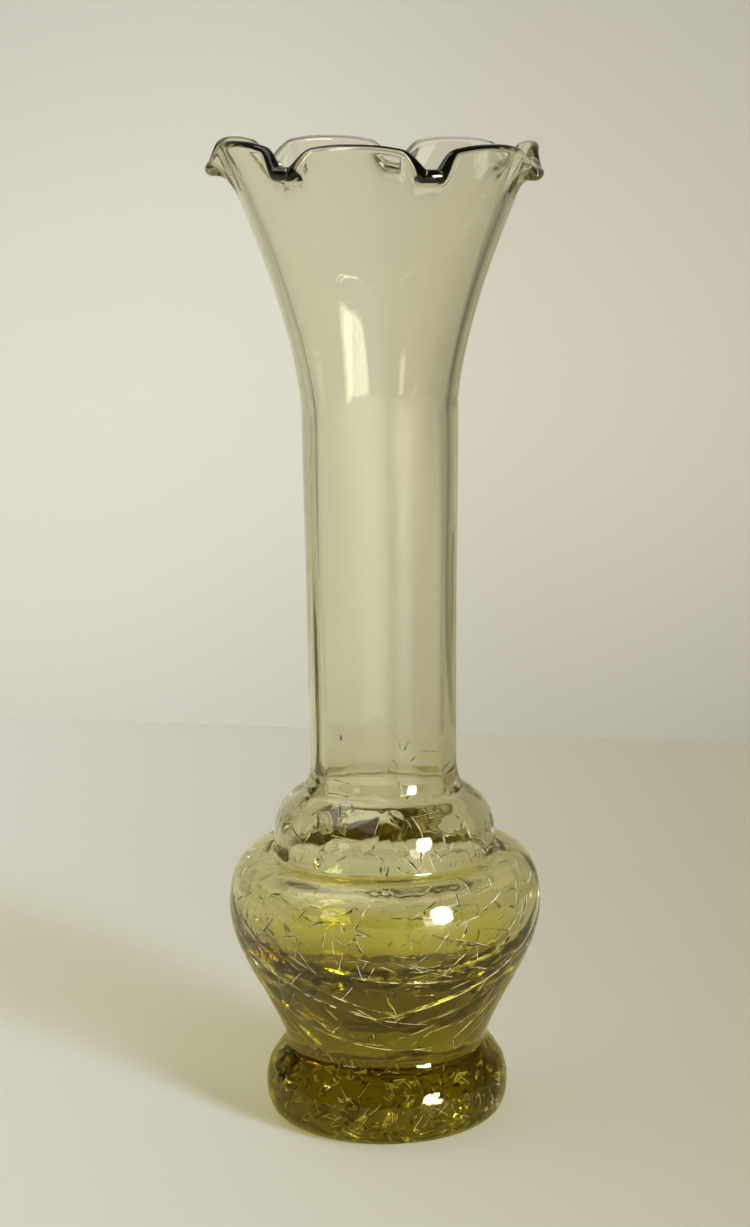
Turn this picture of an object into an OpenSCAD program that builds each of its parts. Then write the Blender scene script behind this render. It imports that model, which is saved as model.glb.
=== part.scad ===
// Hand-blown crackle-glass bud vase, in olive green glass: a solid cushion foot, a bulb with a heavy
// bottom, a small collar, a plain neck and a trumpet mouth whose rim is crimped into lobes.
// It is one annealed glass object, divided here at the steps where the shape was worked:
// each division is a plane or a ring of bare glass against bare glass, with nothing between.
// Millimetres, +Z up, origin on the table under the axis, front of the vase towards -Y.

/* [Foot] */
// Widest diameter of the cushion foot
foot_d = 51.2; // [48:0.2:54]
// Diameter of the flat that the vase stands on
rest_d = 42; // [38:0.5:44]
// Height of the widest part of the foot
foot_belly_z = 7; // [6:0.2:8]
// Diameter of the waist, where the foot meets the bulb
waist_d = 41.8; // [39:0.2:44]
// Height of the waist
waist_z = 17; // [16:0.5:19]
// Diameter of the shallow pontil recess under the foot
pontil_d = 20; // [12:1:26]
// Depth of the pontil recess
pontil_depth = 1.2; // [0.6:0.2:2]

/* [Bulb] */
// Widest diameter of the bulb
bulb_d = 65.2; // [61:0.2:70]
// Height of the widest part of the bulb
bulb_z = 45.8; // [44:0.2:47]
// Wall at the widest part of the bulb
bulb_wall = 2.4; // [1.8:0.1:3]
// Height of the bottom of the cavity
floor_z = 24; // [22:0.5:27]

/* [Collar] */
// Diameter of the crease between the bulb and the collar
crease_d = 45.8; // [45:0.2:46]
// Height of that crease
crease_z = 57; // [56:0.2:57.6]
// Widest diameter of the collar
collar_d = 46.4; // [46:0.1:46.6]
// Height of the widest part of the collar
collar_z = 60.2; // [59.6:0.2:61.6]
// Wall of the collar
collar_wall = 2.1; // [1.6:0.1:2.4]

/* [Neck] */
// Height of the foot of the neck, on top of the collar
neck_foot_z = 71; // [70:0.5:72]
// Diameter of the neck just above its foot
neck_low_d = 30.3; // [28:0.1:32]
// Diameter of the neck where the mouth begins to open
neck_top_d = 31.8; // [30:0.1:34]
// Wall of the neck
neck_wall = 2.4; // [1.8:0.1:2.8]
// Height at which the mouth begins to open
mouth_z = 150; // [140:1:158]

/* [Mouth] */
// Height of the vase, from the table to the highest lobe of the rim
height = 203.5; // [196:0.5:212]
// Diameter across the tops of the lobes
mouth_d = 64.4; // [58:0.2:72]
// How late the trumpet opens: 1 is a straight cone
flare_power = 1.5; // [1.2:0.01:1.8]
// Wall of the mouth at its lobes
lip_wall = 1.9; // [1.6:0.1:2.4]

/* [Crimped rim] */
// Number of crimps round the rim
crimps = 7; // [5:1:9]
// Direction of the first crimp, in degrees from the front towards the right
first_crimp = -33; // [-60:1:60]
// How far each crimp drops below the lobes
crimp_drop = 6; // [3:0.5:7]
// How far each crimp is drawn outward
crimp_out = 0.4; // [0:0.2:2.4]
// Width of the glass that each crimp curls over, measured up the wall
crimp_depth = 11; // [9:0.5:13]
// Share of the rim that the crimps' steep flanks reach across
crimp_reach = 0.42; // [0.36:0.02:0.8]
// How much of the drop is the slow fall of a lobe towards its ends
lobe_fall = 0.3; // [0:0.05:0.5]
// Extra thickness of the fire-polished lip in a crimp
crimp_bead = 1; // [0:0.1:1.2]
// How much higher the rim is on the left than on the axis
rim_lean = 0.7; // [0:0.1:1.2]

/* [Hidden] */

glass_deep = [0.42, 0.40, 0.08];
glass_mid = [0.62, 0.60, 0.32];
glass_pale = [0.74, 0.72, 0.56];

foot_r = foot_d / 2;
rest_r = rest_d / 2;
waist_r = waist_d / 2;
bulb_r = bulb_d / 2;
crease_r = crease_d / 2;
collar_r = collar_d / 2;
neck_low_r = neck_low_d / 2;
neck_top_r = neck_top_d / 2;
neck_foot_r = neck_low_r + 1.2;
mouth_r = mouth_d / 2;

facets = 140;          // sides given to round stages, and steps round the mouth
bend_steps = 8;        // steps in each bend of an outline
mouth_levels = 11;     // rings up the trumpet
lip_levels = 4;        // rings across the curled strip of the rim
tip_steps = 3;         // steps round the fire-polished edge
rim_top_z = height - rim_lean - lip_wall / 2;
lip_from = 0.82;       // share of the trumpet's rise at which the rim strip begins

// A bend from a to d that leaves a towards b and arrives at d from c.
function bend(a, b, c, d, n = bend_steps) = [
    for (i = [0 : n])
        let (t = i / n, s = 1 - t)
        s * s * s * a + 3 * s * s * t * b + 3 * s * t * t * c + t * t * t * d
];

// A list with its first point left out, for joining outlines end to end.
function tail(list) = [for (i = [1 : len(list) - 1]) list[i]];

function reversed(list) = [for (i = [len(list) - 1 : -1 : 0]) list[i]];

// ---- Outlines, as [radius, height] ----

// Side of the foot, from the rest ring round the cushion to the waist.
foot_side = concat(
    bend([rest_r, 0], [foot_r - 1.2, 0.1], [foot_r, foot_belly_z - 4.6], [foot_r, foot_belly_z]),
    tail(bend([foot_r, foot_belly_z], [foot_r, waist_z - 4.8], [waist_r + 2.2, waist_z - 3.8],
              [waist_r, waist_z]))
);

// Outside of the bulb: a straight rise from the waist, a full belly, and a shoulder that rolls over
// into the groove the collar stands in.
bulb_side = concat(
    bend([waist_r, waist_z], [waist_r + 4.8, waist_z + 12.9], [bulb_r, bulb_z - 9.1], [bulb_r, bulb_z]),
    tail(bend([bulb_r, bulb_z], [bulb_r, bulb_z + 12.9], [crease_r + 3, crease_z + 0.9],
              [crease_r, crease_z]))
);

// Inside of the bulb: a bowl with a rounded bottom, heavy glass low down and an even wall above.
cavity_low_r = bulb_r - 6.7;
cavity_low_z = bulb_z - 8.2;
crease_bore_r = crease_r - collar_wall;
bulb_bore = concat(
    bend([0, floor_z], [8, floor_z], [17, floor_z + 4.6], [cavity_low_r, cavity_low_z]),
    tail(bend([cavity_low_r, cavity_low_z], [cavity_low_r + 2.4, cavity_low_z + 2.6],
              [bulb_r - bulb_wall, bulb_z - 4], [bulb_r - bulb_wall, bulb_z + 1.5])),
    tail(bend([bulb_r - bulb_wall, bulb_z + 1.5], [bulb_r - bulb_wall, bulb_z + 12.7],
              [crease_bore_r + 0.4, crease_z - 4.2], [crease_bore_r, crease_z]))
);

// Outside of the collar: a small round bead of a shape, with a shoulder up to the neck.
collar_side = concat(
    bend([crease_r, crease_z], [crease_r + 0.1, crease_z + 1], [collar_r, collar_z - 1.8],
         [collar_r, collar_z], bend_steps / 2),
    tail(bend([collar_r, collar_z], [collar_r, collar_z + 5.2], [collar_r - 2.2, neck_foot_z - 2],
              [neck_foot_r, neck_foot_z]))
);

// Inside of the collar, one wall in from its outside.
neck_low_bore_r = neck_low_r - neck_wall;
collar_bore = concat(
    bend([crease_bore_r, crease_z], [crease_bore_r + 0.1, crease_z + 1],
         [collar_r - collar_wall, collar_z - 2], [collar_r - collar_wall, collar_z],
         bend_steps / 2),
    tail(bend([collar_r - collar_wall, collar_z],
              [collar_r - collar_wall, collar_z + 4.4],
              [neck_low_bore_r + 4.4, neck_foot_z - 2.6], [neck_low_bore_r, neck_foot_z]))
);

// Outside of the neck: a short cove off the collar, then a slow taper.
cove_top_z = neck_foot_z + 5.5;
neck_side = concat(
    bend([neck_foot_r, neck_foot_z], [neck_low_r + 0.3, neck_foot_z + 1.6],
         [neck_low_r, cove_top_z - 2.5], [neck_low_r, cove_top_z]),
    tail(bend([neck_low_r, cove_top_z], [neck_low_r, mouth_z - 45], [neck_top_r, mouth_z - 25],
              [neck_top_r, mouth_z]))
);
// The bore runs straight past the cove, then keeps one wall in from the outside.
neck_bore = [for (p = neck_side) [p[1] < cove_top_z ? neck_low_bore_r : p[0] - neck_wall, p[1]]];

// ---- The mouth, a trumpet that curls over at each crimp ----

// Share of a crimp that is felt at the angle a: 1 at the bottom of a crimp, 0 on top of a lobe.
function crimp(a) =
    let (away = acos(cos(crimps * (a - first_crimp))) / 180)
    let (t = min(1, max(0, 1.5 * (1 - away / crimp_reach))))
    let (steep = t * t * (3 - 2 * t), slow = pow((1 + cos(180 * away)) / 2, 1.5))
    (1 - lobe_fall) * steep + lobe_fall * slow;

// How far up the curled strip the height z is, from 0 below it to 1 at the edge.
function curl(z) = max(0, (z - rim_top_z + crimp_depth) / crimp_depth);

// Radius of the plain trumpet at the height z.
function flare_r(z) = neck_top_r
    + (mouth_r - neck_top_r) * pow(max(0, z - mouth_z) / (rim_top_z - mouth_z), flare_power);

// A point on the outside of the mouth: a is degrees from the front towards the right, and u is the
// share of the trumpet's rise.
function mouth_skin(a, u) =
    let (z = mouth_z + u * (rim_top_z - mouth_z))
    let (w = crimp(a) * pow(curl(z), 2))
    let (r = flare_r(z) + w * crimp_out)
    [r * sin(a), -r * cos(a), z - w * crimp_drop - rim_lean * sin(a) * u * u];

// Direction out of the glass at that point.
function mouth_out(a, u) =
    let (step = 0.01)
    let (along = mouth_skin(a + 1, u) - mouth_skin(a - 1, u))
    let (up = mouth_skin(a, u + step) - mouth_skin(a, u - step))
    let (n = cross(along, up))
    n / norm(n);

// Direction up the wall at that point.
function mouth_up(a, u) =
    let (up = mouth_skin(a, u) - mouth_skin(a, u - 0.01))
    up / norm(up);

// Thickness of the wall, which thins to the lobes and thickens again in the crimps.
function mouth_wall(a, u) = neck_wall + (lip_wall - neck_wall) * u
    + crimp_bead * crimp(a) * pow(u, 20);

// The bottom ring lies flat on the neck, so its wall is measured level.
function mouth_in(a, u) =
    let (out = mouth_out(a, u))
    let (level = [sin(a), -cos(a), 0])
    let (aim = u == 0 ? level : out)
    mouth_skin(a, u) - mouth_wall(a, u) * aim;

// Points round the fire-polished edge, from the outside over to the inside.
function mouth_tip(a) =
    let (out = mouth_out(a, 1 - 0.001))
    let (up = mouth_up(a, 1))
    let (half = mouth_wall(a, 1) / 2)
    let (mid = mouth_skin(a, 1) - half * out)
    [for (k = [1 : tip_steps]) mid + half * (cos(180 * k / (tip_steps + 1)) * out
                                             + sin(180 * k / (tip_steps + 1)) * up)];

function rises(from, to, n) = [for (i = [0 : n]) from + (to - from) * i / n];

// Section of the trumpet at the angle a: up the outside, then down the inside.
function trumpet_section(a) = concat(
    [for (u = rises(0, lip_from, mouth_levels)) mouth_skin(a, u)],
    [for (u = reversed(rises(0, lip_from, mouth_levels))) mouth_in(a, u)]
);

// Section of the rim at the angle a: up the inside, over the edge and down the outside.
function rim_section(a) = concat(
    [for (u = rises(lip_from, 1, lip_levels)) mouth_in(a, u)],
    reversed(mouth_tip(a)),
    [for (u = reversed(rises(lip_from, 1, lip_levels))) mouth_skin(a, u)]
);

// Joins closed sections, spaced evenly round the axis, into one solid ring.
module ring_of(sections, outside_first) {
    n = len(sections);
    m = len(sections[0]);
    points = [for (s = sections) each s];
    faces = [
        for (i = [0 : n - 1], j = [0 : m - 1])
            let (i2 = (i + 1) % n, j2 = (j + 1) % m)
            let (a = i * m + j, b = i * m + j2, c = i2 * m + j2, d = i2 * m + j)
            each (outside_first ? [[a, b, c], [a, c, d]] : [[a, c, b], [a, d, c]])
    ];
    polyhedron(points, faces, convexity = 6);
}

// A tube or cup turned from an outside outline and an inside outline, both drawn upwards.
module turned(side, bore) {
    rotate_extrude($fn = facets)
        polygon(concat(side, reversed(bore)));
}

// ---- The pieces ----

module foot() {
    color(glass_deep)
    difference() {
        rotate_extrude($fn = facets)
            polygon(concat([[0, 0]], foot_side, [[0, waist_z]]));
        // Saucer left where the pontil iron was broken away and ground.
        rotate_extrude($fn = facets)
            polygon([
                [0, -1], [pontil_d / 2, -1], [pontil_d / 2, 0],
                [pontil_d / 2 - 2, pontil_depth * 0.8], [0, pontil_depth]
            ]);
    }
}

module bulb() {
    color(glass_mid)
    rotate_extrude($fn = facets)
        polygon(concat([[0, waist_z]], bulb_side, reversed(bulb_bore)));
}

module collar() {
    color(glass_mid)
    turned(collar_side, collar_bore);
}

module neck() {
    color(glass_pale)
    turned(neck_side, neck_bore);
}

module flared_mouth() {
    color(glass_pale)
    ring_of([for (i = [0 : facets - 1]) trumpet_section(i * 360 / facets)], true);
}

module crimped_rim() {
    color(glass_pale)
    ring_of([for (i = [0 : facets - 1]) rim_section(i * 360 / facets)], false);
}

foot();
bulb();
collar();
neck();
flared_mouth();
crimped_rim();
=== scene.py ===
import math
import random

import bpy
import numpy as np
from mathutils import Matrix, Vector
from mathutils.kdtree import KDTree


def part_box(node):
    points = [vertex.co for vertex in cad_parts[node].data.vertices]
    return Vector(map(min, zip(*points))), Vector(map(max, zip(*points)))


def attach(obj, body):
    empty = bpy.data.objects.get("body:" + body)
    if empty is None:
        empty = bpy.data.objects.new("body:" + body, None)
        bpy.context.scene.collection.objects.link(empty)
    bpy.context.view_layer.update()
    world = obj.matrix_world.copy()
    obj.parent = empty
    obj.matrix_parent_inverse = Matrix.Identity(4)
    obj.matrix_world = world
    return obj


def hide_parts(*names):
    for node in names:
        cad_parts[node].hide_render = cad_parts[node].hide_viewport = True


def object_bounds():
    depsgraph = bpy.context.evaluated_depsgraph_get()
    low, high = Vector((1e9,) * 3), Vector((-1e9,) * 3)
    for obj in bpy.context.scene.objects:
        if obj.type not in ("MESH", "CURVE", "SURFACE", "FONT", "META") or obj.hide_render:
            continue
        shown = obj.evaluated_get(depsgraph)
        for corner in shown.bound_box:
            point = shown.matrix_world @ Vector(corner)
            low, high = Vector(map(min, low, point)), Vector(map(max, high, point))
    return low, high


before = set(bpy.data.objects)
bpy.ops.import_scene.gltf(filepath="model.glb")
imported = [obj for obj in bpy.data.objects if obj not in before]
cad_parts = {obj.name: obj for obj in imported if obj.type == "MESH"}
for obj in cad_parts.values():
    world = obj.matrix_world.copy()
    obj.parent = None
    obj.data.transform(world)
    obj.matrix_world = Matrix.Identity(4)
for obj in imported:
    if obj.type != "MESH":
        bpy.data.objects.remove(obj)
cad_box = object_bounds()

MM = 0.001
FULL_TURN = 2 * math.pi


# ---- Sizes: the CAD boxes give the main ones, and the outlines below repeat part.scad's shape ----

def widest(node):
    """Half the width of a round CAD node."""
    lowest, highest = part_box(node)
    return (highest.x - lowest.x) / 2


def top_of(node):
    """Height of a CAD node's top."""
    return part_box(node)[1].z


foot_r, waist_z = widest("foot"), top_of("foot")
bulb_r, crease_z = widest("bulb"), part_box("collar")[0].z
collar_r, neck_foot_z = widest("collar"), top_of("collar")
mouth_z = top_of("neck")
height = cad_box[1].z

rest_r = 21 * MM
foot_belly_z = 7 * MM
waist_r = 20.9 * MM
pontil_r, pontil_depth = 10 * MM, 1.2 * MM
bulb_z, bulb_wall = 45.8 * MM, 2.4 * MM
floor_z = 24 * MM
crease_r = 22.9 * MM
collar_z, collar_wall = 60.2 * MM, 2.1 * MM
neck_low_r, neck_top_r, neck_wall = 15.15 * MM, 15.9 * MM, 2.4 * MM
neck_foot_r = neck_low_r + 1.2 * MM
mouth_r, lip_wall = 32.2 * MM, 1.9 * MM
flare_power = 1.5
crimps, first_crimp = 7, math.radians(-33)
crimp_drop, crimp_out, crimp_depth = 6 * MM, 0.4 * MM, 11 * MM
crimp_reach, lobe_fall, crimp_bead = 0.42, 0.3, 1 * MM
rim_lean = 0.7 * MM
lip_from = 0.82
rim_top_z = height - rim_lean - lip_wall / 2

COLUMNS = 480                         # steps round the vase, the same for every piece
FINE, PLAIN = 0.45 * MM, 1.3 * MM     # spacing of the rows on crackled and on plain glass
TRUMPET_ROWS, RIM_ROWS = 38, 26       # rows up each side of the trumpet and of the crimped strip
TIP_STEPS = 10                        # steps over the fire-polished edge


# ---- Camera ----

def make_camera():
    """An 80 mm lens, a little above the rim and half a metre in front of it."""
    data = bpy.data.cameras.new("camera")
    data.lens = 80
    data.clip_start, data.clip_end = 0.05, 30
    camera = bpy.data.objects.new("camera", data)
    look_down, tilt = math.radians(11.6), math.radians(-0.7)
    camera.matrix_world = (
        Matrix.Translation((-1.4 * MM, -550 * MM, 220.2 * MM))
        @ Matrix.Rotation(math.pi / 2 - look_down, 4, "X")
        @ Matrix.Rotation(tilt, 4, "Z")
    )
    bpy.context.collection.objects.link(camera)
    bpy.context.scene.camera = camera


make_camera()


# ---- Outlines, as (radius, height) ----

def bend(a, b, c, d, steps=40):
    """A bend from a to d that leaves a towards b and arrives at d from c."""
    t = np.linspace(0, 1, steps + 1)[:, None]
    s = 1 - t
    return s**3 * np.array(a) + 3 * s * s * t * np.array(b) + 3 * s * t * t * np.array(c) + t**3 * np.array(d)


def joined(*bends):
    """Bends in a row, each starting where the last one ends."""
    return np.concatenate([bends[0]] + [b[1:] for b in bends[1:]])


underside = np.array([
    (0, pontil_depth), (pontil_r - 2 * MM, pontil_depth * 0.8), (pontil_r, 0), (rest_r, 0)])
foot_side = joined(
    bend((rest_r, 0), (foot_r - 1.2 * MM, 0.1 * MM), (foot_r, foot_belly_z - 4.6 * MM),
         (foot_r, foot_belly_z)),
    bend((foot_r, foot_belly_z), (foot_r, waist_z - 4.8 * MM), (waist_r + 2.2 * MM, waist_z - 3.8 * MM),
         (waist_r, waist_z)))
bulb_side = joined(
    bend((waist_r, waist_z), (waist_r + 4.8 * MM, waist_z + 12.9 * MM), (bulb_r, bulb_z - 9.1 * MM),
         (bulb_r, bulb_z)),
    bend((bulb_r, bulb_z), (bulb_r, bulb_z + 12.9 * MM), (crease_r + 3 * MM, crease_z + 0.9 * MM),
         (crease_r, crease_z)))
collar_side = joined(
    bend((crease_r, crease_z), (crease_r + 0.1 * MM, crease_z + 1 * MM),
         (collar_r, collar_z - 1.8 * MM), (collar_r, collar_z)),
    bend((collar_r, collar_z), (collar_r, collar_z + 5.2 * MM),
         (collar_r - 2.2 * MM, neck_foot_z - 2 * MM), (neck_foot_r, neck_foot_z)))
cove_top_z = neck_foot_z + 5.5 * MM
neck_side = joined(
    bend((neck_foot_r, neck_foot_z), (neck_low_r + 0.3 * MM, neck_foot_z + 1.6 * MM),
         (neck_low_r, cove_top_z - 2.5 * MM), (neck_low_r, cove_top_z)),
    bend((neck_low_r, cove_top_z), (neck_low_r, mouth_z - 45 * MM), (neck_top_r, mouth_z - 25 * MM),
         (neck_top_r, mouth_z)))

hollow_r, hollow_z = bulb_r - 6.7 * MM, bulb_z - 8.2 * MM
crease_bore_r = crease_r - collar_wall
bulb_bore = joined(
    bend((0, floor_z), (8 * MM, floor_z), (17 * MM, floor_z + 4.6 * MM), (hollow_r, hollow_z)),
    bend((hollow_r, hollow_z), (hollow_r + 2.4 * MM, hollow_z + 2.6 * MM),
         (bulb_r - bulb_wall, bulb_z - 4 * MM), (bulb_r - bulb_wall, bulb_z + 1.5 * MM)),
    bend((bulb_r - bulb_wall, bulb_z + 1.5 * MM), (bulb_r - bulb_wall, bulb_z + 12.7 * MM),
         (crease_bore_r + 0.4 * MM, crease_z - 4.2 * MM), (crease_bore_r, crease_z)))
neck_low_bore_r = neck_low_r - neck_wall
collar_bore = joined(
    bend((crease_bore_r, crease_z), (crease_bore_r + 0.1 * MM, crease_z + 1 * MM),
         (collar_r - collar_wall, collar_z - 2 * MM), (collar_r - collar_wall, collar_z)),
    bend((collar_r - collar_wall, collar_z), (collar_r - collar_wall, collar_z + 4.4 * MM),
         (neck_low_bore_r + 4.4 * MM, neck_foot_z - 2.6 * MM), (neck_low_bore_r, neck_foot_z)))
neck_bore = np.array([(neck_low_bore_r if z < cove_top_z else r - neck_wall, z) for r, z in neck_side])


class Outline:
    """An outline through several stretches, softened where they meet and measured by its length."""

    STEP = 0.1 * MM

    def __init__(self, soft, *stretches):
        """soft is the standard deviation of the softening, in metres."""
        soft /= self.STEP
        points = joined(*stretches)
        length = np.concatenate([[0], np.cumsum(np.hypot(*np.diff(points, axis=0).T))])
        last = np.cumsum([len(s) - 1 for s in stretches])
        self.marks = np.concatenate([[0], length[last]])
        self.length = np.linspace(0, length[-1], int(length[-1] / self.STEP) + 1)
        even = np.stack([np.interp(self.length, length, points[:, k]) for k in (0, 1)], 1)
        reach = int(3 * soft)
        weights = np.exp(-0.5 * (np.arange(-reach, reach + 1) / soft) ** 2)
        weights /= weights.sum()
        before = 2 * even[0] - even[reach:0:-1]
        after = 2 * even[-1] - even[-2:-reach - 2:-1]
        padded = np.concatenate([before, even, after])
        self.points = np.stack([np.convolve(padded[:, k], weights, "valid") for k in (0, 1)], 1)
        slope = np.gradient(self.points, axis=0)
        self.slope = slope / np.linalg.norm(slope, axis=1)[:, None]

    def at(self, s):
        return np.interp(s, self.length, self.points[:, 0]), np.interp(s, self.length, self.points[:, 1])

    def slope_at(self, s):
        return np.interp(s, self.length, self.slope[:, 0]), np.interp(s, self.length, self.slope[:, 1])

    def rows(self, stretch, spacing):
        """Lengths at which one stretch has its rows, both ends included."""
        start, end = self.marks[stretch], self.marks[stretch + 1]
        return np.linspace(start, end, max(2, round((end - start) / spacing)) + 1)


outside = Outline(1.1 * MM, underside, foot_side, bulb_side, collar_side, neck_side)
inside = Outline(1.0 * MM, bulb_bore, collar_bore, neck_bore)
UNDERSIDE, FOOT, BULB, COLLAR, NECK = range(5)        # stretches of the outside
BULB_BORE, COLLAR_BORE, NECK_BORE = range(3)          # stretches of the inside


# ---- Crackle: cracks that grow over the outside until they meet an older one ----

class Crack:
    """A line on the outside of the glass, by angle and outline length, and how it runs inward."""

    def __init__(self, angles, lengths, depth, tilt, groove, width, ends):
        self.angles, self.lengths = np.array(angles), np.array(lengths)
        self.depth, self.tilt, self.groove, self.width = depth, tilt, groove, width
        self.ends = ends        # whether each end stops at another crack


CRACK_STEP = 0.45 * MM          # length of one step of a growing crack
CELL = 0.6 * MM                 # side of a cell of space
SHORTEST = 5                    # points in the shortest crack that is kept
taken = {}                      # the crack that runs through each cell


def place(angle, length):
    """Point on the outside at an angle and an outline length."""
    r, z = outside.at(length)
    return r * math.sin(angle), -r * math.cos(angle), z


def cell_of(point):
    return tuple(int(math.floor(c / CELL)) for c in point)


def grow(rng, name, angle, length, heading, bow, reach, limits, wander):
    """Points of one arm of a crack, and whether it ended at another crack."""
    points = []
    for _ in range(int(reach / CRACK_STEP)):
        heading += (bow + rng.gauss(0, wander * 1.5)) * CRACK_STEP
        r = outside.at(length)[0]
        angle += math.cos(heading) * CRACK_STEP / r
        length += math.sin(heading) * CRACK_STEP
        if not limits[0] < length < limits[1]:
            return points, False
        points.append((angle, length))
        cell = cell_of(place(angle, length))
        if taken.setdefault(cell, name) != name:
            return points, True
    return points, False


def length_at(z, stretch):
    """Outline length at the height z, on one stretch of the outside."""
    s = outside.rows(stretch, 0.1 * MM)
    return float(s[np.argmin(np.abs(outside.at(s)[1] - z))])


# The bold cracks round the lower bulb, listed one by one: degrees from the front, height of the middle in
# mm, heading, bow in radians per metre, length in mm and width in mm
LONG_CRACKS = [
    (-38, 34, -0.42, 8, 56, 0.2), (-25, 23, -0.3, 16, 40, 0.16), (40, 35, 0.4, 8, 52, 0.13),
    (55, 28, 0.75, 6, 26, 0.14), (-66, 29, -1.0, 6, 30, 0.16), (-50, 24, -0.85, 6, 24, 0.15),
    (22, 28, 0.3, 10, 26, 0.12), (5, 38, -0.1, 6, 24, 0.1), (-5, 31, -0.35, 10, 26, 0.14),
    (100, 33, -0.35, 6, 50, 0.16), (140, 26, 0.3, 8, 44, 0.15), (-110, 36, 0.3, 6, 48, 0.16),
    (-145, 28, -0.3, 8, 46, 0.15), (180, 34, 0.15, 4, 50, 0.14), (80, 24, 0.9, 6, 22, 0.14),
    (-90, 23, -0.9, 6, 22, 0.14),
]


def crackle():
    """All the cracks, the long ones first."""
    rng = random.Random(20)
    foot_limits = (outside.marks[FOOT] - 1.5 * MM, outside.marks[BULB] + 1 * MM)
    bulb_limits = (outside.marks[BULB] - 0.5 * MM, outside.marks[COLLAR] - 0.5 * MM)
    collar_limits = (outside.marks[COLLAR] + 0.4 * MM, length_at(neck_foot_z + 8 * MM, NECK))
    families = [
        # stretch, lowest z, highest z, count, reach, heading, spread of the heading, wander,
        # depth, tilt, groove, width, limits; z, reach, depth, groove and width in mm
        (BULB, 19, 42, 110, (5, 16), 0.8, 1.0, 24, 1.3, 0.5, 0.06, 0.07, bulb_limits),
        (BULB, 36, 58, 280, (3, 10), 1.2, 1.0, 45, 1.0, 0.5, 0.04, 0.06, bulb_limits),
        (COLLAR, 57.5, 70.5, 130, (2, 8), 1.2, 1.0, 45, 1.0, 0.5, 0.035, 0.06, collar_limits),
        (NECK, 71, 77, 24, (2, 6), 1.3, 0.8, 30, 0.8, 0.4, 0.02, 0.07, collar_limits),
        (FOOT, 1, 17, 640, (2, 5.5), 0.6, 1.5, 60, 2.8, 0.45, 0.06, 0.05, foot_limits),
    ]
    found = []

    def add(angle, start, course, bow, far, wander, deep, lean, groove, width, limits):
        name = len(found) + 1
        cell = cell_of(place(angle, start))
        ahead, met_ahead = grow(rng, name, angle, start, course, bow, far / 2, limits, wander)
        behind, met_behind = grow(rng, name, angle, start, course + math.pi, -bow, far / 2, limits, wander)
        line = behind[::-1] + [(angle, start)] + ahead
        if taken.setdefault(cell, name) == name and len(line) >= SHORTEST:
            angles, lengths = zip(*line)
            found.append(Crack(angles, lengths, deep, lean, groove * MM, width * MM,
                               (met_behind, met_ahead)))

    for degrees, z, course, bow, far, width in LONG_CRACKS:
        add(math.radians(degrees), length_at(z * MM, BULB), course, bow, far * MM, 3, 1.6 * MM,
            rng.gauss(0, 0.25), 0.08, width, bulb_limits)
    for (stretch, low, high, count, reach, heading, spread, wander, depth, tilt, groove, width,
         limits) in families:
        for _ in range(count):
            start = length_at(rng.uniform(low, high) * MM, stretch)
            angle = rng.uniform(0, FULL_TURN)
            course = heading * rng.choice((-1, 1)) + rng.gauss(0, spread)
            add(angle, start, course, rng.gauss(0, wander), rng.uniform(*reach) * MM, wander,
                depth * MM * rng.uniform(0.6, 1.15), rng.gauss(0, tilt), groove, width, limits)
    return found


cracks = crackle()


# ---- The skin ----

angle_of = np.arange(COLUMNS) * FULL_TURN / COLUMNS
around = np.stack([np.sin(angle_of), -np.cos(angle_of), np.zeros(COLUMNS)], 1)
UP = np.array([0.0, 0.0, 1.0])


def waves(rng, count, turns, rise):
    """A gentle unevenness over angle and height, between about -1 and 1."""
    terms = [(rng.randint(*turns), rng.uniform(-rise, rise), rng.uniform(0, FULL_TURN))
             for _ in range(count)]

    def value(z):
        total = sum(np.sin(n * angle_of[None, :] + k * z[:, None] / MM + p) for n, k, p in terms)
        return total / math.sqrt(count)
    return value


def round_rows(outline, stretch, spacing, uneven):
    """Rows of points on one stretch, in the outline's direction."""
    r, z = outline.at(outline.rows(stretch, spacing))
    radius = r[:, None] + uneven(z) * np.minimum(1, r / (6 * MM))[:, None]
    return radius[:, :, None] * around + z[:, None, None] * UP


def crimp(angle):
    """Share of a crimp that is felt: 1 at its bottom, 0 on top of a lobe."""
    away = np.arccos(np.clip(np.cos(crimps * (angle - first_crimp)), -1, 1)) / math.pi
    t = np.clip(1.5 * (1 - away / crimp_reach), 0, 1)
    steep, slow = t * t * (3 - 2 * t), ((1 + np.cos(math.pi * away)) / 2) ** 1.5
    return (1 - lobe_fall) * steep + lobe_fall * slow


def mouth_skin(angle, u):
    """Outside of the mouth, where u is the share of the trumpet's rise."""
    z = mouth_z + u * (rim_top_z - mouth_z)
    curl = np.maximum(0, (z - rim_top_z + crimp_depth) / crimp_depth)
    w = crimp(angle) * curl**2
    flare = np.maximum(0, z - mouth_z) / (rim_top_z - mouth_z)
    r = neck_top_r + (mouth_r - neck_top_r) * flare**flare_power + w * crimp_out
    lift = z - w * crimp_drop - rim_lean * np.sin(angle) * u * u
    return np.stack([r * np.sin(angle), -r * np.cos(angle), lift + 0 * r], -1)


def unit(v):
    """Vectors of the same direction, one metre long."""
    return v / np.linalg.norm(v, axis=-1)[..., None]


def mouth_out(angle, u):
    """Direction out of the glass on the outside of the mouth."""
    along = mouth_skin(angle + 0.01, u) - mouth_skin(angle - 0.01, u)
    up = mouth_skin(angle, u + 0.005) - mouth_skin(angle, u - 0.005)
    return unit(np.cross(along, up))


def mouth_wall(angle, u):
    """Thickness of the mouth's wall, with the bead where a crimp folds the edge."""
    return neck_wall + (lip_wall - neck_wall) * u + crimp_bead * crimp(angle) * u**20


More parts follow.
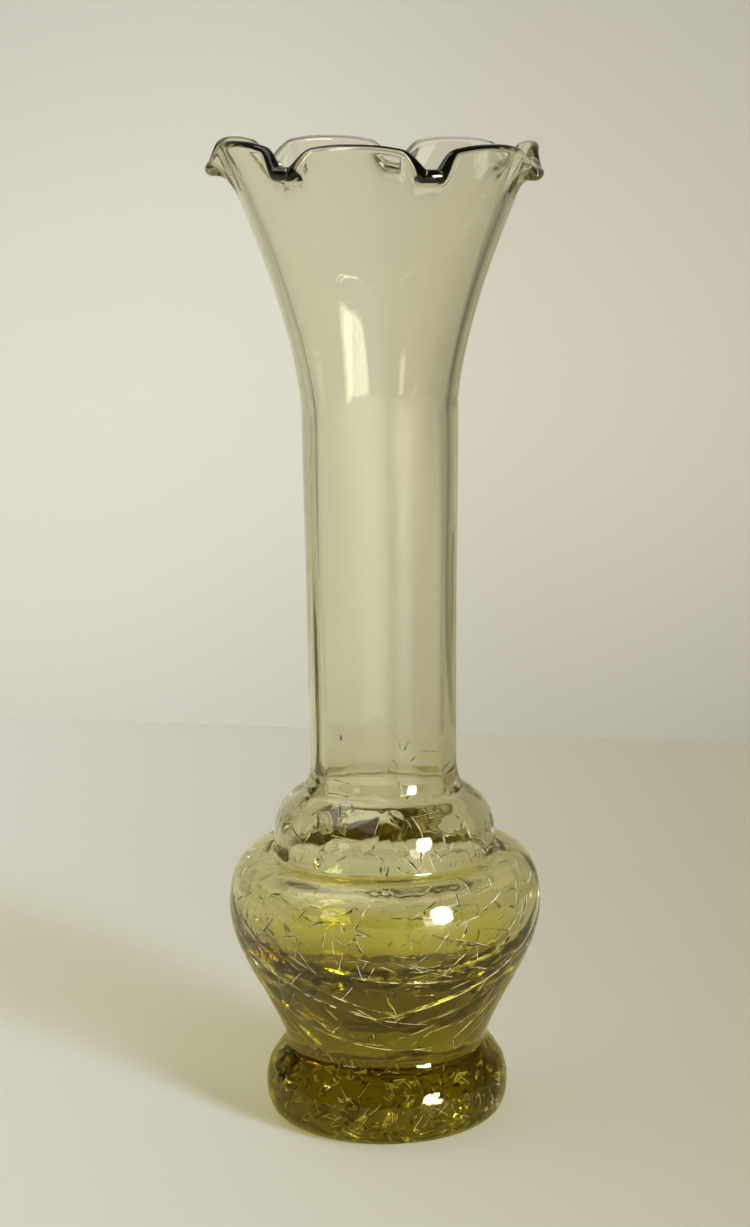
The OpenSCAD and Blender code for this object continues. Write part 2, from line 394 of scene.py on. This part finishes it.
def mouth_rows(levels, uneven):
    """Rows up the outside of the mouth and the matching rows down its inside."""
    angle, u = np.meshgrid(angle_of, levels)
    out = mouth_skin(angle, u)
    wall = mouth_wall(angle, u) + uneven(mouth_z + levels * (rim_top_z - mouth_z)) * (1 - u)
    return out, (out - wall[:, :, None] * mouth_out(angle, u))[::-1]


def lip_rows():
    """Rows over the fire-polished edge, from the outside to the inside."""
    u = np.ones(COLUMNS)
    out = mouth_out(angle_of, u * 0.999)
    up = unit(mouth_skin(angle_of, u) - mouth_skin(angle_of, u * 0.99))
    half = mouth_wall(angle_of, u)[:, None] / 2
    middle = mouth_skin(angle_of, u) - half * out
    turn = [math.pi * k / TIP_STEPS for k in range(1, TIP_STEPS)]
    return np.stack([middle + half * (math.cos(t) * out + math.sin(t) * up) for t in turn])


def make_skin():
    """The whole skin as rows of points, and the first row of each stretch."""
    rng = random.Random(7)
    wobble = waves(rng, 6, (1, 5), 0.12)
    bands = waves(rng, 9, (3, 17), 0.015)
    ripple = waves(rng, 8, (2, 9), 0.16)
    stretches, firsts, count = [], {}, 0

    def outer(z):
        return 0.09 * MM * wobble(z) * np.minimum(1, z / (4 * MM))[:, None]

    def inner(z):
        return 0.14 * MM * bands(z) + 0.16 * MM * ripple(z) * (z < crease_z)[:, None]

    def wall(z):
        return inner(z) * 0.8

    def down(stretch):
        return round_rows(inside, stretch, PLAIN, lambda z: -inner(z))[::-1]

    def add(name, rows):
        nonlocal count
        firsts[name] = count
        stretches.append(rows)
        count += len(rows)

    add("underside", round_rows(outside, UNDERSIDE, 1 * MM, outer)[:-1])
    add("foot", round_rows(outside, FOOT, FINE, outer)[:-1])
    add("bulb", round_rows(outside, BULB, FINE, outer)[:-1])
    add("collar", round_rows(outside, COLLAR, FINE, outer)[:-1])
    add("neck", round_rows(outside, NECK, PLAIN, outer))
    low_out, low_in = mouth_rows(np.linspace(0, lip_from, TRUMPET_ROWS), wall)
    high_out, high_in = mouth_rows(np.linspace(lip_from, 1, RIM_ROWS), wall)
    add("trumpet", low_out[1:-1])
    add("rim", high_out)
    add("lip", lip_rows())
    add("rim_bore", high_in)
    add("trumpet_bore", low_in[1:-1])
    add("neck_bore", down(NECK_BORE))
    add("collar_bore", down(COLLAR_BORE)[1:])
    add("bulb_bore", down(BULB_BORE)[1:])
    return np.concatenate(stretches), firsts


skin, first_row = make_skin()


def directions(points):
    """Direction out of the glass at each point of the skin."""
    along = np.roll(points, -1, 1) - np.roll(points, 1, 1)
    rise = np.empty_like(points)
    rise[1:-1] = unit(points[2:] - points[1:-1]) + unit(points[1:-1] - points[:-2])
    rise[0], rise[-1] = points[1] - points[0], points[-1] - points[-2]
    size = np.linalg.norm(np.cross(along, rise), axis=-1)
    out = np.cross(along, rise) / np.maximum(size, 1e-15)[..., None]
    out[0], out[-1] = -UP, UP
    return out


GROOVE_REACH, GROOVE_WIDTH = 2.5 * MM, 0.9 * MM
GROOVE_SAMPLES = 4              # samples of a groove in each step of its crack


def sink_grooves(points):
    """Sinks the outside along each crack, which leaves a low pillow of glass between them."""
    samples = []
    for crack in cracks:
        here = np.arange(len(crack.angles))
        fine = np.linspace(0, here[-1], GROOVE_SAMPLES * here[-1] + 1)
        r, z = outside.at(np.interp(fine, here, crack.lengths))
        for a, x, y in zip(np.interp(fine, here, crack.angles), r, z):
            samples.append((x * math.sin(a), -x * math.cos(a), y, crack.groove))
    tree = KDTree(len(samples))
    for i, sample in enumerate(samples):
        tree.insert(sample[:3], i)
    tree.balance()
    first = first_row["foot"] - 4        # the underside's last rows can feel a groove too
    last = first_row["trumpet"]
    out = directions(points)
    sink = np.zeros(points.shape[:2])
    for i in range(first, last):
        for j in range(COLUMNS):
            _, k, gap = tree.find(points[i, j])
            if gap < GROOVE_REACH:
                sink[i, j] = samples[k][3] * math.exp(-(gap / GROOVE_WIDTH) ** 2)
    return points - sink[..., None] * out


skin = sink_grooves(skin)
facing = directions(skin)


# ---- Materials ----

def new_material(name):
    """A material with nothing in its tree but the output."""
    material = bpy.data.materials.new(name)
    material.use_nodes = True
    tree = material.node_tree
    tree.nodes.clear()
    output = tree.nodes.new("ShaderNodeOutputMaterial")
    return material, tree, output


def math_node(tree, operation, a, b=None):
    """A Math node's result. a and b are numbers or sockets."""
    node = tree.nodes.new("ShaderNodeMath")
    node.operation = operation
    for socket, value in zip(node.inputs, (a, b)):
        if isinstance(value, (int, float)):
            socket.default_value = value
        elif value is not None:
            tree.links.new(value, socket)
    return node.outputs[0]


def place_in(tree):
    """Place on the piece, in metres from its origin."""
    return tree.nodes.new("ShaderNodeTexCoord").outputs["Object"]


def axis_of(tree, vector, axis):
    split = tree.nodes.new("ShaderNodeSeparateXYZ")
    tree.links.new(vector, split.inputs[0])
    return split.outputs[axis]


def ramp(tree, value, low, high, at_low, at_high, smooth=True):
    """A Map Range node's result: at_low below low, at_high above high, and a slope between them."""
    node = tree.nodes.new("ShaderNodeMapRange")
    node.interpolation_type = "SMOOTHSTEP" if smooth else "LINEAR"
    limits = (("From Min", low), ("From Max", high), ("To Min", at_low), ("To Max", at_high))
    for socket, number in limits:
        node.inputs[socket].default_value = number
    tree.links.new(value, node.inputs["Value"])
    return node.outputs[0]


# Red, green and blue lost, as exponents: per metre in the solid bottom, per metre in the walls above it,
# and at every surface of the lower glass and of the bottom, as painted shade that darkens the glass and its
# reflections
DEEP_OLIVE, PALE_OLIVE = (30, 36, 190), (41, 46.5, 100)
LOWER_PAINTED_SHADE, BOTTOM_PAINTED_SHADE = (0.02, 0.025, 0.075), (0.03, 0.05, 0.35)
# Heights between which the solid bottom turns into walls, the painted shade on the lower glass ends and the
# painted shade on the bottom ends
WALLS_FROM, LOWER_PAINTED_SHADE_ENDS, BOTTOM_PAINTED_SHADE_ENDS = (28 * MM, 66 * MM), (62 * MM, 94 * MM), (30 * MM, 42 * MM)


def absorbed(tree, depth):
    """Colour left of white light after so many metres of olive glass, and after the painted shade at each
    surface low on the vase.
    """
    z = axis_of(tree, place_in(tree), "Z")
    colour = tree.nodes.new("ShaderNodeCombineColor")
    for socket, deep, pale, lower_painted_shade, bottom_painted_shade in zip(
            colour.inputs, DEEP_OLIVE, PALE_OLIVE, LOWER_PAINTED_SHADE, BOTTOM_PAINTED_SHADE):
        power = math_node(tree, "MULTIPLY", depth, ramp(tree, z, *WALLS_FROM, -deep, -pale))
        # painted shade: each surface below these heights is darkened, and so are its reflections
        power = math_node(tree, "ADD", power, ramp(tree, z, *LOWER_PAINTED_SHADE_ENDS, -lower_painted_shade, 0))
        power = math_node(tree, "ADD", power, ramp(tree, z, *BOTTOM_PAINTED_SHADE_ENDS, -bottom_painted_shade, 0))
        tree.links.new(math_node(tree, "EXPONENT", power), socket)
    return colour.outputs[0]


def lamp_ray(tree):
    """1 for light on its way from a lamp or a diffuse surface, and 0 otherwise."""
    path = tree.nodes.new("ShaderNodeLightPath")
    return math_node(tree, "MAXIMUM", path.outputs["Is Shadow Ray"], path.outputs["Is Diffuse Ray"])


def mixed(tree, output, factor, first, second):
    """Sends a mix of two shaders to the output."""
    mix = tree.nodes.new("ShaderNodeMixShader")
    for value, socket in zip((factor, first.outputs[0], second.outputs[0]), mix.inputs):
        tree.links.new(value, socket)
    tree.links.new(mix.outputs[0], output.inputs["Surface"])


def glass(name, half_wall, shade):
    """Olive glass that takes light by the length of its way inside; lamps pass it as through a tint.

    The first half wall is taken where a ray comes in, and the rest of its way where it goes out.
    """
    material, tree, output = new_material(name)
    way = tree.nodes.new("ShaderNodeLightPath").outputs["Ray Length"]
    side = tree.nodes.new("ShaderNodeNewGeometry").outputs["Backfacing"]
    beyond = math_node(tree, "MAXIMUM", math_node(tree, "SUBTRACT", way, half_wall), 0)
    going_out = math_node(tree, "MULTIPLY", beyond, side)
    coming_in = math_node(tree, "MULTIPLY", math_node(tree, "SUBTRACT", 1, side), half_wall)
    depth = math_node(tree, "ADD", going_out, coming_in)
    solid = tree.nodes.new("ShaderNodeBsdfGlass")
    solid.inputs["IOR"].default_value = 1.5
    solid.inputs["Roughness"].default_value = 0
    tree.links.new(absorbed(tree, depth), solid.inputs["Color"])
    tint = tree.nodes.new("ShaderNodeBsdfTransparent")
    tint.inputs["Color"].default_value = (*shade, 1)
    mixed(tree, output, lamp_ray(tree), solid, tint)
    return material


def joint_glass():
    """The face where two pieces are fused: nothing shows there."""
    material, tree, output = new_material("fused_joint")
    clear = tree.nodes.new("ShaderNodeBsdfTransparent")
    tree.links.new(clear.outputs[0], output.inputs["Surface"])
    return material


def patches(tree, low, high):
    """Healed and open patches along a crack, from 0 to 1."""
    heal = tree.nodes.new("ShaderNodeTexNoise")
    heal.inputs["Scale"].default_value = 420
    heal.inputs["Detail"].default_value = 2
    tree.links.new(place_in(tree), heal.inputs["Vector"])
    return ramp(tree, heal.outputs[0], low, high, 0, 1, smooth=False)


def broken(tree, output, shader, face_on, glance, opening):
    """Shows the shader in a crack's open patches, and more of it at a glancing angle. Lamps pass it.

    face_on is its share face on. glance holds the Facing values between which that share rises to 1,
    and opening the noise values between which a patch goes from healed to open.
    """
    weight = tree.nodes.new("ShaderNodeLayerWeight")
    weight.inputs["Blend"].default_value = 0.5
    share = ramp(tree, weight.outputs["Facing"], *glance, face_on, 1)
    seen = math_node(tree, "MULTIPLY", share, patches(tree, *opening))
    seen = math_node(tree, "MULTIPLY", seen, math_node(tree, "SUBTRACT", 1, lamp_ray(tree)))
    mixed(tree, output, seen, tree.nodes.new("ShaderNodeBsdfTransparent"), shader)


def crack_air(name, face_on):
    """The thin air gap of a crack: it mirrors at a glancing angle, and is clear face on."""
    material, tree, output = new_material(name)
    mirror = tree.nodes.new("ShaderNodeBsdfAnisotropic")
    mirror.inputs["Roughness"].default_value = 0.06
    way = tree.nodes.new("ShaderNodeLightPath").outputs["Ray Length"]
    tree.links.new(absorbed(tree, way), mirror.inputs["Color"])
    broken(tree, output, mirror, face_on, glance=(0.12, 0.34), opening=(0.38, 0.48))
    return material


def crack_lip(name):
    """The broken edge of a crack just under the surface, which scatters light as a pale hairline."""
    material, tree, output = new_material(name)
    bright = tree.nodes.new("ShaderNodeBsdfPrincipled")
    bright.inputs["Base Color"].default_value = (1, 0.98, 0.84, 1)
    bright.inputs["Roughness"].default_value = 0.3
    broken(tree, output, bright, face_on=0.5, glance=(0.1, 0.5), opening=(0.44, 0.54))
    return material


# ---- The glass pieces ----

def add_mesh(name, vertices, faces, materials):
    """A new object with this mesh and these materials."""
    mesh = bpy.data.meshes.new(name)
    mesh.from_pydata(vertices, [], faces)
    for material in materials:
        mesh.materials.append(material)
    thing = bpy.data.objects.new(name, mesh)
    bpy.context.collection.objects.link(thing)
    return thing


def closed_piece(name, rows, caps, material, joint, poles=False):
    """A closed piece from a run of skin rows, some of which may be a single point.

    caps are the gaps between rows that are joint faces. With poles the run starts and ends at a point,
    and without them its first row follows its last.
    """
    vertices, normals, starts = [], [], []
    for points, out in rows:
        starts.append(len(vertices))
        if points.ndim == 1:
            vertices.append(points)
            normals.append(out)
        else:
            vertices.extend(points)
            normals.extend(out)
    count = len(rows)
    faces, kinds = [], []
    step = np.arange(COLUMNS)
    ahead = (step + 1) % COLUMNS
    for i in range(count - 1 if poles else count):
        k = (i + 1) % count
        a, b = starts[i], starts[k]
        if rows[i][0].ndim == 1:
            strip = np.stack([a + 0 * step, b + ahead, b + step], 1)
        elif rows[k][0].ndim == 1:
            strip = np.stack([a + step, a + ahead, b + 0 * step], 1)
        else:
            strip = np.stack([a + step, a + ahead, b + ahead, b + step], 1)
        faces.extend(strip.tolist())
        kinds.extend([1 if i in caps else 0] * COLUMNS)
    piece = add_mesh(name, [tuple(v) for v in vertices], faces, (material, joint))
    mesh = piece.data
    mesh.polygons.foreach_set("material_index", kinds)
    mesh.polygons.foreach_set("use_smooth", [True] * len(faces))
    flat = [tuple(p.normal) for p in mesh.polygons]
    corner = []
    for face, kind, out in zip(faces, kinds, flat):
        corner.extend([out] * len(face) if kind else [tuple(normals[v]) for v in face])
    mesh.normals_split_custom_set(corner)
    return piece


def span(first, last):
    """Rows of the skin from one to another, both included."""
    return [(skin[i], facing[i]) for i in range(first, last + 1)]


SHADOW_TINT, FOOT_SHADOW_TINT = (0.93, 0.92, 0.84), (0.72, 0.70, 0.45)


def glass_pieces():
    """The six glass pieces, by the CAD node that each replaces."""
    rim_starts = first_row["rim"]
    collar_starts, neck_starts = first_row["collar"], first_row["neck"]
    neck_ends, rim_bore_ends = first_row["trumpet"] - 1, first_row["trumpet_bore"] - 1
    neck_bore_starts, neck_bore_ends = first_row["neck_bore"], first_row["collar_bore"] - 1
    collar_bore_ends, bulb_bore_ends = first_row["bulb_bore"] - 1, len(skin) - 2
    joint = joint_glass()
    bottom = (np.array([0, 0, pontil_depth]), -UP)
    waist = (np.array([0, 0, waist_z]), UP)
    floor = (np.array([0, 0, floor_z]), UP)

    foot_rows = [bottom] + span(1, first_row["bulb"]) + [waist]
    foot_glass = glass("foot_glass", 3 * MM, FOOT_SHADOW_TINT)
    foot = closed_piece("foot", foot_rows, {len(foot_rows) - 2}, foot_glass, joint, poles=True)

    side = span(first_row["bulb"], collar_starts)
    bulb_rows = [waist] + side + span(collar_bore_ends, bulb_bore_ends) + [floor]
    bulb_glass = glass("bulb_glass", 1.2 * MM, SHADOW_TINT)
    bulb = closed_piece("bulb", bulb_rows, {0, len(side)}, bulb_glass, joint, poles=True)

    def tube(name, material, side, bore):
        return closed_piece(name, side + bore, {len(side) - 1, len(side + bore) - 1}, material, joint)

    collar = tube("collar", glass("collar_glass", 1 * MM, SHADOW_TINT),
                  span(collar_starts, neck_starts), span(neck_bore_ends, collar_bore_ends))
    neck = tube("neck", glass("neck_glass", 1.2 * MM, SHADOW_TINT),
                span(neck_starts, neck_ends), span(neck_bore_starts, neck_bore_ends))
    mouth = tube("flared_mouth", glass("trumpet_glass", 1 * MM, SHADOW_TINT),
                 span(neck_ends, rim_starts), span(rim_bore_ends, neck_bore_starts))

    rim_rows = span(rim_starts, rim_bore_ends)
    rim_glass = glass("rim_glass", 1 * MM, SHADOW_TINT)
    rim = closed_piece("crimped_rim", rim_rows, {len(rim_rows) - 1}, rim_glass, joint)
    return {"foot": foot, "bulb": bulb, "collar": collar, "neck": neck, "flared_mouth": mouth,
            "crimped_rim": rim}


for node, piece in glass_pieces().items():
    piece.name = node + "_glass"
    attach(piece, "root")
    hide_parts(node)


# ---- The cracks, as thin wedges of air inside the glass ----

OVER_CRACK = 0.03 * MM          # glass left between a groove and the crack under it
MOST_LEAN = 0.9                 # how far a crack may lean from straight in
SMALLEST_END = 0.06             # share of its depth that a crack keeps at a free end


def crack_wedges(name, chosen, face_on):
    """One mesh of closed wedges, each along a crack, wide near the surface and thin at its root."""
    rng = random.Random(len(chosen))
    vertices, faces, kinds = [], [], []
    for crack in chosen:
        r, z = outside.at(crack.lengths)
        dr, dz = outside.slope_at(crack.lengths)
        a = crack.angles
        flat = np.stack([np.sin(a), -np.cos(a)], 1)
        point = np.concatenate([flat * r[:, None], z[:, None]], 1)
        out = np.concatenate([flat * dz[:, None], -dr[:, None]], 1)
        along = unit(np.gradient(point, axis=0))
        side = unit(np.cross(along, out))
        n = len(a)
        t = np.linspace(0, 1, n)
        from_start = np.ones(n) if crack.ends[0] else t
        from_end = np.ones(n) if crack.ends[1] else 1 - t
        taper = np.minimum(1, np.minimum(from_start, from_end) * 4 + SMALLEST_END)
        swell = 0.75 + 0.25 * np.sin(t * rng.uniform(4, 14) + rng.uniform(0, 6))
        lean = crack.tilt + 0.25 * np.sin(t * rng.uniform(2, 7) + rng.uniform(0, 6))
        lean = np.clip(lean, -MOST_LEAN, MOST_LEAN)[:, None]
        depth = (crack.depth * taper * swell)[:, None]
        start = point - out * (crack.groove + OVER_CRACK)
        root = start - out * depth * np.cos(lean) + side * depth * np.sin(lean)
        first = len(vertices)
        mouth = crack.width / 2 * np.minimum(1, taper + 0.2)[:, None]
        for left, right, tip in zip(start + side * mouth, start - side * mouth, root):
            vertices += [tuple(left), tuple(right), tuple(tip)]
        for i in range(n - 1):
            a0, b0, c0 = first + 3 * i, first + 3 * i + 1, first + 3 * i + 2
            a1, b1, c1 = a0 + 3, b0 + 3, c0 + 3
            faces += [(a0, b0, b1, a1), (b0, c0, c1, b1), (c0, a0, a1, c1)]
            kinds += [1, 0, 0]
        end = first + 3 * (n - 1)
        faces += [(first, first + 2, first + 1), (end, end + 1, end + 2)]
        kinds += [0, 0]
    materials = crack_air(name + "_air", face_on), crack_lip(name + "_lip")
    piece = add_mesh(name, vertices, faces, materials)
    piece.data.polygons.foreach_set("material_index", kinds)
    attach(piece, "root")


def crack_pieces():
    """One mesh of cracks for each stretch of the outside that has them."""
    bulb_starts, bulb_ends = outside.marks[BULB], outside.marks[COLLAR]
    for name, low, high, face_on in (
            ("foot_crackle", 0, bulb_starts, 0.4),
            ("bulb_crackle", bulb_starts, bulb_ends, 0.12),
            ("collar_crackle", bulb_ends, math.inf, 0.12)):
        crack_wedges(name, [c for c in cracks if low <= c.lengths.mean() < high], face_on)


crack_pieces()


def neck_seed():
    """A small bubble drawn out along the neck inside its wall, made as a dark speck whose dark colour is
    painted shade.
    """
    material, tree, output = new_material("seed_painted_shade")
    shader = tree.nodes.new("ShaderNodeBsdfPrincipled")
    # painted shade: the bubble's darkness is painted into this near-black colour
    shader.inputs["Base Color"].default_value = (0.03, 0.025, 0.008, 1)
    shader.inputs["Roughness"].default_value = 0.5
    tree.links.new(shader.outputs[0], output.inputs["Surface"])
    angle, r = math.radians(-36), neck_low_r - 0.9 * MM
    bpy.ops.mesh.primitive_uv_sphere_add(segments=12, ring_count=8, radius=0.28 * MM, location=(
        r * math.sin(angle), -r * math.cos(angle), 84 * MM))
    seed = bpy.context.object
    seed.name = "neck_seed"
    seed.scale = (1, 1, 2.2)
    seed.data.materials.append(material)
    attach(seed, "root")


neck_seed()


# ---- Stage and light ----

def blended(tree, factor, first, second):
    """A colour between two colours."""
    blend = tree.nodes.new("ShaderNodeMix")
    blend.data_type = "RGBA"
    blend.inputs["A"].default_value = (*first, 1)
    blend.inputs["B"].default_value = (*second, 1)
    tree.links.new(factor, blend.inputs["Factor"])
    return blend.outputs["Result"]


def painted_light_surface(name, left, right, near, far, at_far):
    """A pale surface with painted light: its colour blends from left to right, a painted shade where one side
    is darker, and it is at_far times as bright beyond far, painted light that changes with distance from its
    origin.
    """
    material, tree, output = new_material(name)
    shader = tree.nodes.new("ShaderNodeBsdfPrincipled")
    shader.inputs["Roughness"].default_value = 0.7
    shader.inputs["Specular IOR Level"].default_value = 0.2
    across = axis_of(tree, place_in(tree), "X")
    # painted shade: the colour blends across from the left colour to the right one, and the stage gives one
    # side a darker colour
    colour = blended(tree, ramp(tree, across, -0.2, 0.2, 0, 1), left, right)
    away = tree.nodes.new("ShaderNodeVectorMath")
    away.operation = "LENGTH"
    tree.links.new(place_in(tree), away.inputs[0])
    dim = tree.nodes.new("ShaderNodeVectorMath")
    dim.operation = "SCALE"
    tree.links.new(colour, dim.inputs[0])
    # painted light: the colour is scaled to at_far times beyond far from the origin
    tree.links.new(ramp(tree, away.outputs["Value"], near, far, 1, at_far), dim.inputs["Scale"])
    tree.links.new(dim.outputs[0], shader.inputs["Base Color"])
    tree.links.new(shader.outputs[0], output.inputs["Surface"])
    return material


def plane(name, corners, material):
    """A flat surface of the stage."""
    thing = add_mesh(name, corners, [(0, 1, 2, 3)], (material,))
    return thing


def stage():
    """A pale table whose back edge runs at a slant, and a pale wall well behind it, both with painted light:
    each is painted darker and yellower to the right, the table a little brighter beyond 0.4 m and the wall
    darker beyond 1 m from its origin.
    """
    table_z = -0.02 * MM
    # painted shade: the table's right colour is darker and yellower than its left, and painted light makes it
    # 1.07 times as bright beyond 0.4 m
    table_painted_light = painted_light_surface("table_painted_light", (0.70, 0.69, 0.61), (0.395, 0.372, 0.257), 0.1, 0.4, 1.07)
    plane("table", [(-4, -4, table_z), (4, -4, table_z), (4, -0.485, table_z), (-4, 1.143, table_z)],
          table_painted_light)
    # painted shade: the wall's right colour is a little darker and yellower, and it is painted 0.7 times as
    # bright beyond 1 m from its origin
    wall_painted_light = painted_light_surface("wall_painted_light", (0.445, 0.44, 0.372), (0.415, 0.396, 0.322), 0.2, 1, 0.7)
    wall = plane("wall", [(-6, 0, -3), (6, 0, -3), (6, 0, 4), (-6, 0, 4)], wall_painted_light)
    wall.location = (0, 2.2, -0.35)


def area_light(name, place, aim, width, tall, power):
    """A rectangular light at a place, turned to its aim."""
    data = bpy.data.lights.new(name, "AREA")
    data.shape = "RECTANGLE"
    data.size, data.size_y = width, tall
    data.energy = power
    light = bpy.data.objects.new(name, data)
    light.location = place
    light.rotation_euler = (Vector(aim) - Vector(place)).to_track_quat("-Z", "Y").to_euler()
    bpy.context.collection.objects.link(light)
    return data


def soften(data):
    """Let a light fade towards its edges, as a curtained window does."""
    data.use_nodes = True
    tree = data.node_tree
    spot = tree.nodes.new("ShaderNodeNewGeometry").outputs["Parametric"]
    strength = 1
    for axis, core in (("X", 0), ("Y", 0.2)):
        off_centre = math_node(tree, "ABSOLUTE", math_node(tree, "SUBTRACT", axis_of(tree, spot, axis), 0.5))
        strength = math_node(tree, "MULTIPLY", ramp(tree, off_centre, core, 0.5, 1, 0), strength)
    emission = next(node for node in tree.nodes if node.type == "EMISSION")
    tree.links.new(strength, emission.inputs["Strength"])


ROOM_FRONT, ROOM_BACK = (0.1, 0.088, 0.06), (0.19, 0.188, 0.175)


def room_light():
    """A dim room before the vase, a paler one behind it, a window on the right and soft lights above."""
    world = bpy.data.worlds.new("room")
    world.use_nodes = True
    tree = world.node_tree
    tree.nodes.clear()
    to_back = axis_of(tree, tree.nodes.new("ShaderNodeTexCoord").outputs["Generated"], "Y")
    colour = blended(tree, ramp(tree, to_back, -0.5, 0.5, 0, 1), ROOM_FRONT, ROOM_BACK)
    background = tree.nodes.new("ShaderNodeBackground")
    tree.links.new(colour, background.inputs["Color"])
    output = tree.nodes.new("ShaderNodeOutputWorld")
    tree.links.new(background.outputs[0], output.inputs["Surface"])
    bpy.context.scene.world = world
    vase = (0, 0, 0.1)
    soften(area_light("window", (1.95, -2.12, 0.68), vase, 1.0, 1.5, 720))
    area_light("left_window", (-1.1, -1.2, 0.38), vase, 0.3, 0.4, 1.3)
    area_light("ceiling", (-0.9, 0.1, 1.9), (-0.3, 0.6, 0.2), 1.6, 1.6, 13.5)
    area_light("wall_light", (-1.3, 0.9, -0.45), (-0.4, 2.2, -0.4), 1.0, 0.8, 26)


def render_settings():
    """Plain tones, and enough bounces for light to cross the walls, the bottom and the cracks."""
    scene = bpy.context.scene
    scene.view_settings.view_transform = "Standard"
    cycles = scene.cycles
    cycles.max_bounces = 40
    cycles.transmission_bounces = 40
    cycles.glossy_bounces = 16
    cycles.transparent_max_bounces = 96
    cycles.diffuse_bounces = 3
    cycles.caustics_refractive = False
    cycles.caustics_reflective = False


stage()
room_light()
render_settings()
